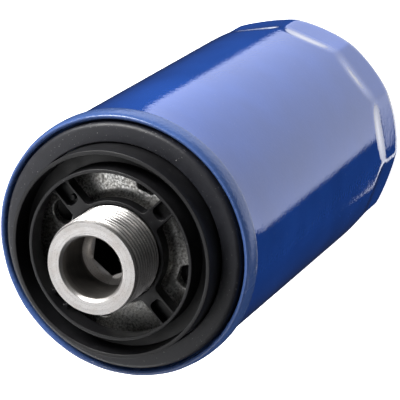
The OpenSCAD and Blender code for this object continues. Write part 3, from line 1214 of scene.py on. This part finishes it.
@dataclass
class Spigot:
    """Turned tube with a rolled thread outside, and a plain bore and a hexagon inside."""

    major: float = 13.5
    pitch: float = 1.5
    depth: float = 0.82
    shank: float = 13.24
    relief: float = 0.25
    low: float = 124.0
    thread_low: float = 137.2
    face: float = 152.7
    chamfer: float = 0.6
    chamfer_height: float = 1.2
    bore: float = 8.7
    bore_low: float = 139.2
    mouth: float = 0.8
    cone: float = 1.3
    cone_in: float = 1.9
    hex_across: float = 12.0
    hex_turn: float = 39.0
    columns: int = 240

    def _thread_radius(self, phase: float, z: float) -> float:
        """Radius of the thread.

        Args:
            phase: Place along one pitch, from 0 to 1.
            z: Height.

        Returns:
            The radius, cut by the chamfer and run out towards the shank.
        """
        off = abs((phase % 1.0) - 0.5) * 2
        wave = min(1.0, max(0.0, (off - 0.16) / 0.66))
        made = self.major - self.depth * (wave * wave * (3 - 2 * wave))
        start = self.face - self.chamfer_height
        if z > start:
            made = min(made, self.major - self.chamfer * (z - start) / self.chamfer_height)
        run_in = min(1.0, max(0.0, (z - self.thread_low) / 0.8))
        return self.shank - self.relief + (made - self.shank + self.relief) * run_in

    def _hex_radius(self, turn: float) -> float:
        """Distance of the hexagon's wall from the axis at an angle in radians."""
        off = (math.degrees(turn) - self.hex_turn) % 60 - 30
        return self.hex_across / 2 / math.cos(math.radians(off))

    def _thread(self, s: Sketch) -> None:
        """Adds the outside: a helical grid whose ends are flattened to the shank and the face.

        Args:
            s: The sketch to add it to.
        """
        per_pitch = 12
        turns = turns_of(self.columns)
        rows = int((self.face - self.thread_low) / self.pitch * per_pitch) + 3 * per_pitch
        start = self.thread_low - 1.5 * self.pitch
        grid = []
        for i in range(rows):
            row = []
            for t in turns:
                free = start + self.pitch * (i / per_pitch + t / TAU)
                z = min(self.face, max(self.thread_low, free))
                phase = (z - start) / self.pitch - t / TAU
                wear = 0.03 * math.sin(7 * t + 1.3 * i) * math.sin(3 * t + 0.7 * i)
                r = self._thread_radius(phase, z) - max(0.0, wear)
                if z >= self.face:
                    r = self.major - self.chamfer
                if z <= self.thread_low:
                    r = self.shank - self.relief
                row.append(spin(t, r, z))
            grid.append(s.add_points(row))
        for i in range(rows - 1):
            for j in range(self.columns - 1):
                s.faces.append((grid[i][j], grid[i][j + 1], grid[i + 1][j + 1], grid[i + 1][j]))
            a, b = min(i + per_pitch, rows - 1), min(i + 1 + per_pitch, rows - 1)
            if a != b:
                s.faces.append((grid[i][-1], grid[a][0], grid[b][0], grid[i + 1][-1]))

    def _inside(self, s: Sketch) -> None:
        """Adds the face, the bore, the hexagon and the shank, from the mouth down and back up.

        Args:
            s: The sketch to add them to.
        """
        turns = turns_of(self.columns)
        edge_r = self.major - self.chamfer
        inner = [(edge_r - inset, self.face) for inset in (0, 0.15, 0.3)]
        inner.append((self.bore + self.mouth + 0.3, self.face))
        inner += [(self.bore + self.mouth + 0.12, self.face), (self.bore + self.mouth, self.face - 0.06)]
        inner += [(self.bore + 0.1, self.face - self.mouth), (self.bore, self.face - self.mouth - 0.15)]
        high, low = self.face - 1, self.bore_low + self.cone
        inner += [(self.bore, low + (high - low) * k / 6) for k in range(5, -1, -1)]
        for share, fall in ((0.08, 0.1), (0.25, 0.35), (0.5, 0.62), (0.75, 0.84), (1.0, 1.0)):
            inner.append((self.bore - self.cone_in * share, low - (self.cone + 1.1) * fall))
        shape = [[spin(t, r, z) for t in turns] for r, z in inner]
        for z in (self.bore_low - 1.2, self.bore_low - 1.5, self.low):
            shape.append([spin(t, self._hex_radius(t), z) for t in turns])
        outside = [(self.shank, self.low), (self.shank, self.thread_low - 0.6)]
        outside.append((self.shank - self.relief, self.thread_low))
        shape += [[spin(t, r, z) for t in turns] for r, z in outside]
        s.rings(shape)

    def build(self, palette: Palette) -> None:
        """Makes and dresses the spigot.

        Args:
            palette: The finishes.
        """
        s = Sketch()
        self._thread(s)
        self._inside(s)
        place(s.build("turned_spigot", 45), Slot.TURNED, palette.turned, "threaded_spigot")


@dataclass
class CoilSpring:
    """Round-wire coil spring with a closed coil at each end."""

    name: str
    node: str
    radius: float
    wire: float
    foot: float
    length: float
    turns: int
    sides: int = 16
    steps: int = 40

    def _height(self, turn: float) -> float:
        """Height of the wire's middle above the foot.

        Args:
            turn: Number of turns from the foot.

        Returns:
            The height.
        """
        dead = 1.08 * self.wire
        pitch = (self.length - self.wire - 2 * dead) / (self.turns - 2)
        if turn < 1:
            rise = dead * turn
        elif turn > self.turns - 1:
            rise = dead + pitch * (self.turns - 2) + dead * (turn - self.turns + 1)
        else:
            rise = dead + pitch * (turn - 1)
        return self.wire / 2 + rise

    def build(self, palette: Palette) -> bpy.types.Object:
        """Makes and dresses the spring.

        Args:
            palette: The finishes.

        Returns:
            The mesh object.
        """
        s = Sketch()
        rows = []
        round_wire = [spin(side, self.wire / 2, 0)[:2] for side in turns_of(self.sides)]
        for i in range(self.turns * self.steps + 1):
            turn = i / self.steps
            z = self.foot + self._height(turn)
            rows.append([spin(TAU * turn, self.radius + out, z + up) for out, up in round_wire])
        made = s.rings(rows)
        s.faces += [tuple(made[0]), tuple(made[-1])]
        return place(s.build(self.name, 50), Slot.WIRE, palette.wire, self.node)


@dataclass
class PaperPack:
    """Folded paper of the element, with round folds."""

    inner: float = 18.4
    outer: float = 31.6
    low: float = 22.5
    high: float = 120.0
    pleats: int = 48
    thickness: float = 0.55
    steps: int = 14
    bend: float = 0.86

    def _fold(self, share: float) -> float:
        """Place across the pack, with round folds.

        Args:
            share: Share of a pleat, from 0 to 1.

        Returns:
            The place, from -1 to 1.
        """
        fold = 1 - 4 * abs(share - 0.5)
        size = abs(fold)
        if size > self.bend:
            past = (size - self.bend) / (1 - self.bend)
            size = self.bend + (1 - self.bend) * 0.6 * math.sin(past * math.pi / 2)
        return math.copysign(size, fold)

    def build(self, palette: Palette) -> None:
        """Makes and dresses the paper.

        Args:
            palette: The finishes.
        """
        middle, swing = (self.inner + self.outer) / 2, (self.outer - self.inner - self.thickness) / 2
        count = self.pleats * self.steps
        line = []
        for i, a in enumerate(turns_of(count)):
            r = middle - swing * self._fold((i % self.steps) / self.steps)
            line.append(Vector(spin(a, r, 0)[:2]))
        sides: tuple[Loop, Loop] = ([], [])
        for i, here in enumerate(line):
            along = (line[(i + 1) % count] - line[i - 1]).normalized()
            across = Vector((-along.y, along.x)) * (self.thickness / 2)
            sides[0].append(tuple(here + across))
            sides[1].append(tuple(here - across))
        s = Sketch()
        levels = [self.low + (self.high - self.low) * k / 8 for k in range(9)]
        rings = [s.stack([(side, z) for z in levels]) for side in sides]
        s.bridge(rings[0][0], rings[1][0])
        s.bridge(rings[0][-1], rings[1][-1])
        place(s.build("folded_paper", 60), Slot.PAPER, palette.paper, "pleated_paper")


@dataclass
class Element:
    """The parts sealed in the can: element, valves and springs."""

    bypass_foot: float = 24.7
    bypass_length: float = 12.3
    bypass_travel: float = 3.5

    def build(self, frame: dict, palette: Palette) -> None:
        """Dresses the CAD nodes that stay and makes the finer pieces.

        Args:
            palette: The finishes.
        """
        dressed = (
            (("drain_valve_collar", "drain_valve_lip", "bypass_seal"), Slot.VALVE, palette.valve),
            (("top_end_cap", "bottom_end_cap", "centre_tube"), Slot.TINNED, palette.tinned),
            (("pleat_clip", "bypass_seat", "bypass_cage"), Slot.TINNED, palette.tinned),
            (("top_potting", "bottom_potting"), Slot.ADHESIVE, palette.adhesive),
            (("bypass_poppet",), Slot.ACETAL, palette.acetal),
        )
        for nodes, slot, material in dressed:
            for node in nodes:
                dress_node(frame, node, material)
        CoilSpring("support_coil", "support_spring", 20.0, 2.4, 0.55, 19.45, 4).build(palette)
        foot, length = self.bypass_foot, self.bypass_length
        bypass = CoilSpring("bypass_coil", "bypass_spring", 5.5, 1.1, foot, length, 5)
        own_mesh(bypass.build(palette))
        PaperPack().build(palette)


@dataclass(frozen=True)
class Panel:
    """A soft light panel; places in metres."""

    name: str
    at: Triple
    aim: Triple
    size: Pair
    power: float
    colour: Triple = (1.0, 1.0, 1.0)
    across: Triple = (0.0, 1.0, 0.0)
    diffuse: bool = True
    glossy: bool = True

    def build(self) -> None:
        """Makes the light, with its width along the direction across."""
        data = bpy.data.lights.new(self.name, "AREA")
        data.shape = "RECTANGLE"
        data.size, data.size_y = self.size
        data.energy = self.power
        data.color = self.colour
        lamp = bpy.data.objects.new(self.name, data)
        away = (Vector(self.at) - Vector(self.aim)).normalized()
        across = Vector(self.across)
        across = (across - away * across.dot(away)).normalized()
        stand(lamp, Vector(self.at), across, away.cross(across), away)
        lamp.visible_camera = False
        lamp.visible_diffuse = self.diffuse
        lamp.visible_glossy = self.glossy
        LOG.info("light %s: %.1f W", self.name, self.power)


@dataclass(frozen=True)
class Camera:
    """The camera: where it stands round the filter, and how it is turned."""

    azimuth: float = -4.19
    elevation: float = 60.98
    roll: float = 125.4
    distance: float = 0.6201
    target: Triple = (0.0271, -0.0039, 0.131)
    lens: float = 207.0

    def build(self) -> None:
        """Makes the scene's camera."""
        a, e = math.radians(self.azimuth), math.radians(self.elevation)
        back = Vector((math.cos(e) * math.cos(a), math.cos(e) * math.sin(a), math.sin(e)))
        level = (Vector((0, 0, 1)) - back * back.z).normalized()
        side = level.cross(back)
        up = level * math.cos(math.radians(self.roll)) + side * math.sin(math.radians(self.roll))
        right = up.cross(back)
        data = bpy.data.cameras.new("studio_camera")
        data.lens, data.sensor_width = self.lens, 36.0
        data.clip_start, data.clip_end = 0.05, 30.0
        camera = bpy.data.objects.new("studio_camera", data)
        stand(camera, Vector(self.target) + back * self.distance, right, up, back)
        bpy.context.scene.camera = camera


@dataclass
class Studio:
    """Floor, surroundings and lights."""

    floor_radius: float = 9.0
    sky_places: tuple[float, ...] = (0.0, 0.42, 0.5, 0.62, 0.8, 1.0)
    sky_levels: tuple[float, ...] = (0.05, 0.10, 0.95, 0.8, 0.55, 0.5)
    sky_strength: float = 0.62
    window_side: Triple = (-0.78, 0.55, 0.30)
    side_range: Pair = (-0.35, 0.9)
    shade_side: float = 0.08
    bright_side: float = 1.25
    card_turn: float = 13.6

    def floor(self) -> None:
        """Makes the pale floor, which reflections pass through to the cards below it."""
        s = Sketch()
        rings = [0.2, 0.6, 1.5, 4.0, self.floor_radius]
        made = s.lathe([(r / MM, 0) for r in rings], 96, closed=False)
        s.disc(made[0], 0)
        floor = s.build("studio_floor")
        floor.location.z = -0.0002
        g = Graph(bpy.data.materials.new("pale_floor"))
        tone = g.blend(g.noise(60, 2), (0.93, 0.93, 0.94, 1), (0.96, 0.96, 0.965, 1))
        g.set(Base_Color=tone, Roughness=0.9, Specular_IOR_Level=0.0)
        g.set(Emission_Color=tone, Emission_Strength=1.0)
        floor.data.materials.append(g.owner)
        floor.visible_glossy = False
        floor.visible_diffuse = False
        floor.visible_shadow = False

    def surroundings(self) -> None:
        """Makes the world: pale above the horizon and towards the window's side, dark elsewhere."""
        world = bpy.data.worlds.new("studio_world")
        bpy.context.scene.world = world
        g = Graph(world, "Background", "Generated")
        sky = g.node("ValToRGB", {0: g.fit(g.height(), -1.0, 1.0)})
        ramp = sky.node.color_ramp
        ramp.elements[0].position, ramp.elements[1].position = 0.0, 1.0
        for position in self.sky_places[1:-1]:
            ramp.elements.new(position)
        for element, level in zip(ramp.elements, self.sky_levels):
            element.color = (level, level, level * 1.02, 1)
        toward = g.node("VectorMath", {0: g.place, 1: self.window_side}, "Value", operation="DOT_PRODUCT")
        sides = (self.shade_side * self.sky_strength, self.bright_side * self.sky_strength)
        g.set(Color=sky, Strength=g.fit(toward, *self.side_range, *sides))

    def build(self) -> None:
        """Makes the studio."""
        self.floor()
        self.surroundings()
        turn = math.radians(self.card_turn)
        along = (math.cos(turn), math.sin(turn), 0.0)
        warm, bluish, cool = (1.0, 0.99, 0.97), (0.96, 0.98, 1.0), (0.93, 1.0, 1.3)
        middle = (0, 0, 0.13)
        card = {"across": along, "diffuse": False}
        panels = [
            Panel("upper_panel", (-0.46, 0.30, 1.15), middle, (0.6, 0.6), 2.0),
            Panel("key_panel", (0.35, 1.2, 0.75), (0, 0, 0.1), (0.9, 0.7), 47.0, warm),
            Panel("fill_panel", (0.35, -1.15, -0.35), (0, 0, 0.08), (0.9, 0.5), 13.0, bluish, glossy=False),
            Panel("side_panel", (-1.2, -0.1, 0.55), middle, (1.4, 0.5), 12.0),
            Panel("soft_card", (-0.084, -0.051, -1.0), (-0.084, -0.051, 0.0), (0.42, 0.78), 1.4, **card),
            Panel("lower_card", (0.70, 0.17, -1.0), (0.70, 0.17, 0.0), (1.2, 2.4), 10.0, cool, **card),
        ]
        for panel in panels:
            panel.build()
        scene = bpy.context.scene
        scene.view_settings.view_transform = "Standard"
        scene.view_settings.look = "None"


def corners(box: tuple[Vector, Vector]) -> list[list[float]]:
    """Two corners as plain lists."""
    return [list(corner) for corner in box]


def main() -> None:
    """Builds the filter and its studio in order."""
    logging.basicConfig(level=logging.INFO, format="%(name)s: %(message)s")
    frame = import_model()
    palette = Palette()
    Can().build(palette)
    Gasket().build(palette)
    Insert().build(palette)
    BasePlate().build(palette)
    Spigot().build(palette)
    Element().build(frame, palette)
    Studio().build()
    Camera().build()


if __name__ == "__main__":
    main()
